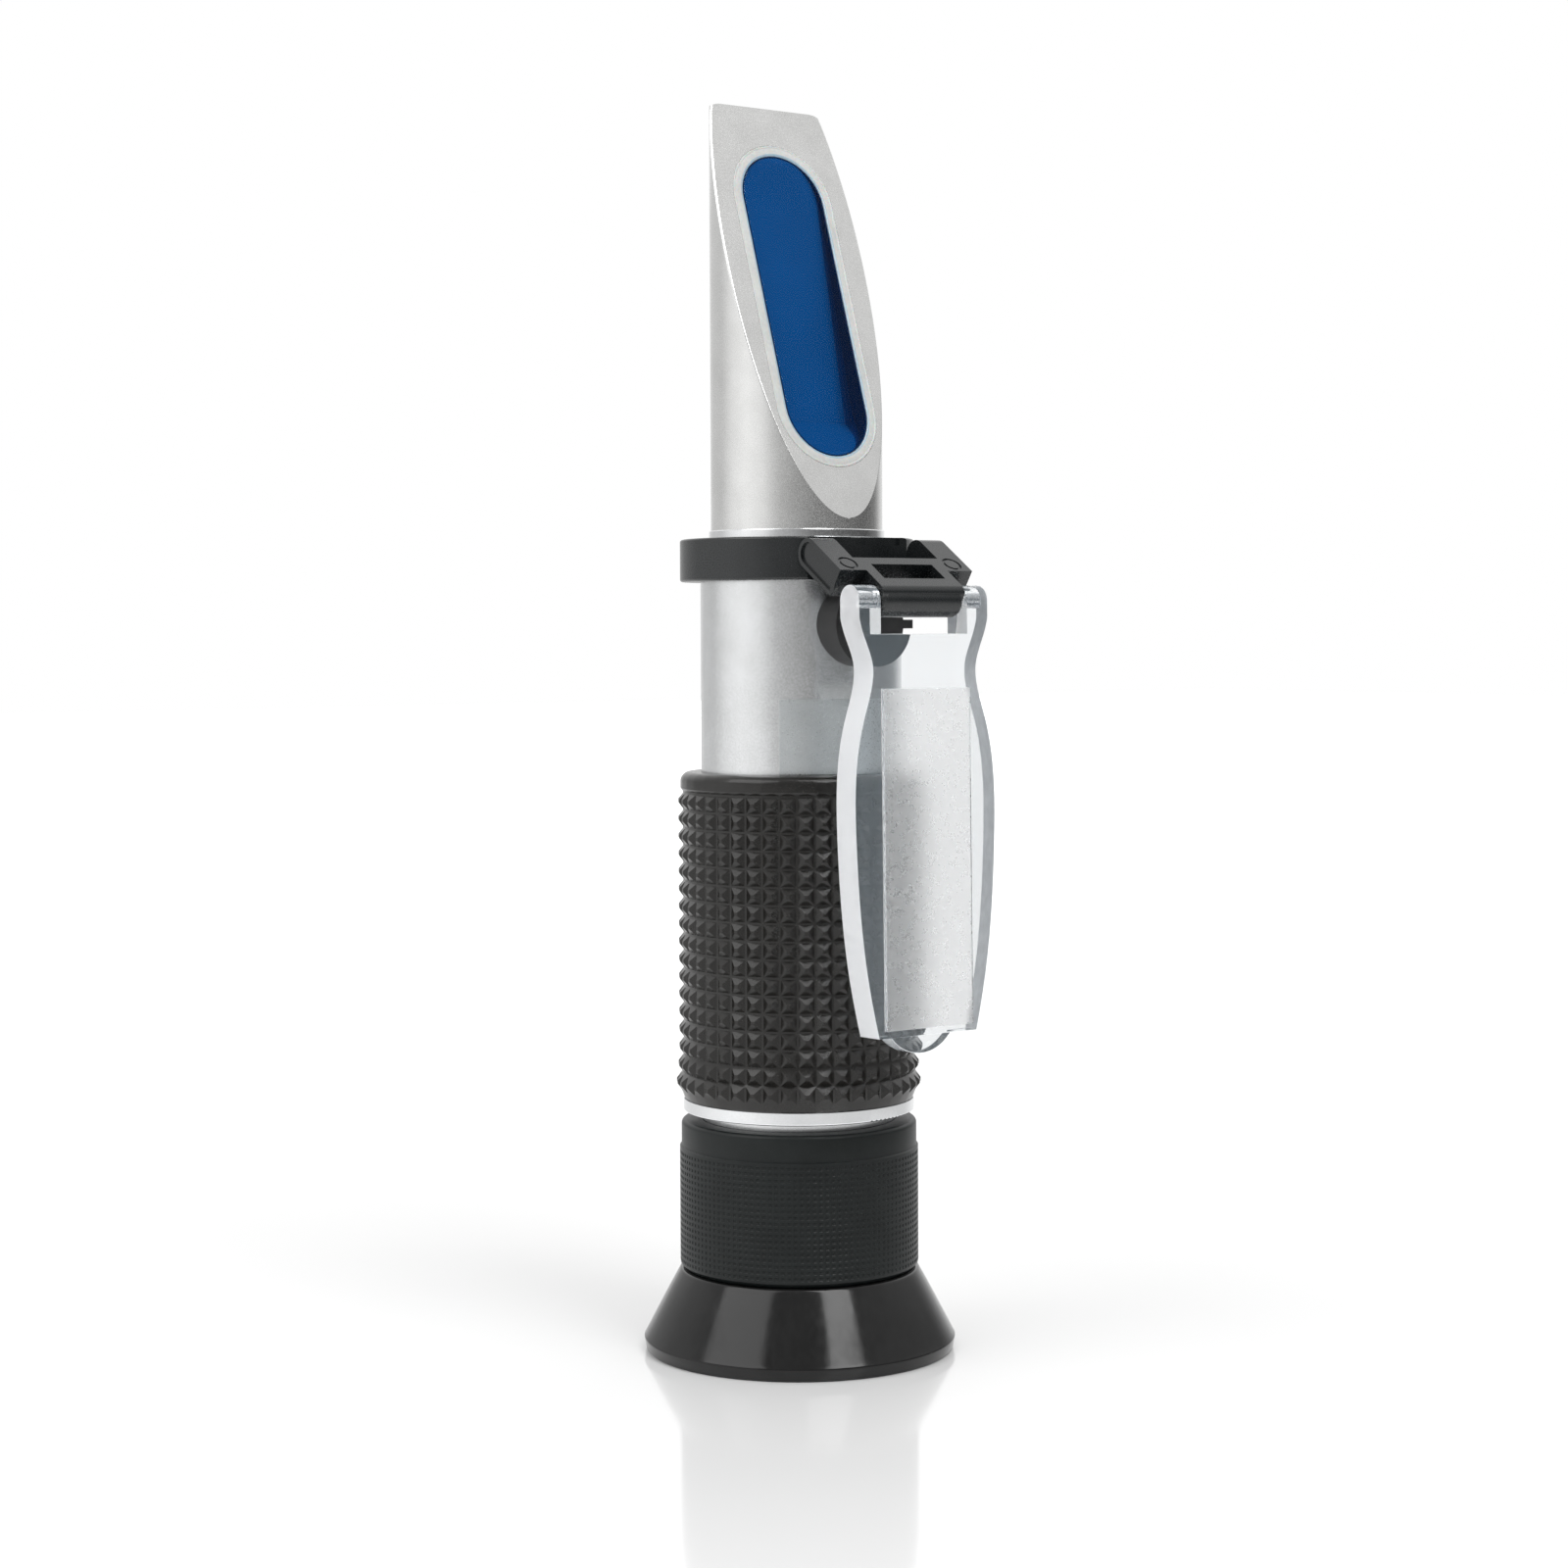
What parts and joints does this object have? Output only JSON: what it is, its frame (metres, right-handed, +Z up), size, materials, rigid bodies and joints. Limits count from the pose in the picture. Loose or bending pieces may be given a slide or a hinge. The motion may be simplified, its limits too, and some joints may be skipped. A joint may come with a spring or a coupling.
{
  "type": "brix refractometer",
  "caption": "Hand-held optical refractometer with a slanted blue prism, a hinged clear daylight plate, a studded rubber grip, a knurled focus ring and a conical eyecup.",
  "frame": {"origin": "on the optical axis, in the plane of the eyecup's rim", "axes": "+Z up along the optical axis towards the prism, -Y the way the slanted prism face looks, X along the hinge pins"},
  "size_m": [0.0402, 0.0472, 0.16],
  "materials": {
    "satin_aluminium": "fine sandblasted, satin anodised",
    "bright_aluminium": "turned and polished",
    "blue_glass": "polished, blue backed",
    "clear_silicone": "translucent, satin",
    "spring_steel": "ground",
    "dark_steel": "blackened",
    "black_plastic": "satin moulded",
    "black_rubber": "matt moulded rubber",
    "cap_rubber": "matt moulded rubber",
    "eyecup_rubber": "soft gloss",
    "ring_black": "satin black, fine knurl",
    "label_foil": "satin foil, bare",
    "black_aluminium": "matt black anodised",
    "optical_glass": "coated",
    "bimetal": "rolled strip",
    "brass": "turned",
    "clear_acrylic": "clear polished acrylic with a frosted pad"
  },
  "bodies": {
    "main_body": {"prism_housing": "satin_aluminium", "main_prism": "blue_glass", "prism_seal": "clear_silicone", "prism_clamp": "spring_steel", "trim_ring": "bright_aluminium", "hinge_collar": "black_plastic", "collar_set_screws": "dark_steel", "link_pin": "spring_steel", "body_tube": "satin_aluminium", "label_plate": "label_foil", "grip_sleeve": "black_rubber", "end_flange": "bright_aluminium", "objective_cell": "black_aluminium", "objective_lens": "optical_glass", "compensation_strip": "bimetal", "compensation_screw": "spring_steel", "reticle_holder": "black_aluminium", "reticle": "optical_glass", "field_stop": "black_aluminium", "calibration_bush": "brass"},
    "link": {"hinge_link": "black_plastic", "cover_pin": "spring_steel"},
    "cover": {"cover_plate": "clear_acrylic"},
    "calibration_screw": {"calibration_screw": "brass"},
    "calibration_cap": {"calibration_cap": "cap_rubber"},
    "eyepiece": {"eyepiece_tube": "black_aluminium", "lens_retaining_ring": "black_aluminium", "eye_lens": "optical_glass", "lens_spacer": "black_aluminium", "field_lens": "optical_glass"},
    "focus": {"focus_ring": "ring_black", "lock_ring": "brass", "eyecup": "eyecup_rubber"}
  },
  "joints": [
    {"name": "link_fold", "type": "hinge", "parent": "main_body", "child": "link", "pos_m": [0, -0.01773, 0.10029], "axis": [-1, 0, 0], "range_deg": [0, 155.7]},
    {"name": "cover_swing", "type": "hinge", "parent": "link", "child": "cover", "pos_m": [0, -0.02411, 0.09601], "axis": [-1, 0, 0], "range_deg": [-5, 41.5]},
    {"name": "screw_turn", "type": "hinge", "parent": "main_body", "child": "calibration_screw", "pos_m": [0, -0.012, 0.0932], "axis": [0, -1, 0], "range_deg": [-180, 180]},
    {"name": "cap_pull", "type": "slide", "parent": "main_body", "child": "calibration_cap", "axis": [0, -1, 0], "range_m": [0, 0.002]},
    {"name": "focus_slide", "type": "slide", "parent": "main_body", "child": "eyepiece", "axis": [0, 0, -1], "range_m": [0, 0.003]},
    {"name": "focus_turn", "type": "hinge", "parent": "eyepiece", "child": "focus", "pos_m": [0, 0, 0.02], "axis": [0, 0, -1], "range_deg": [0, 360]}
  ],
  "couplings": [
    {"joint": "focus_slide", "follows": "focus_turn", "m_per_rad": 0.000477}
  ]
}
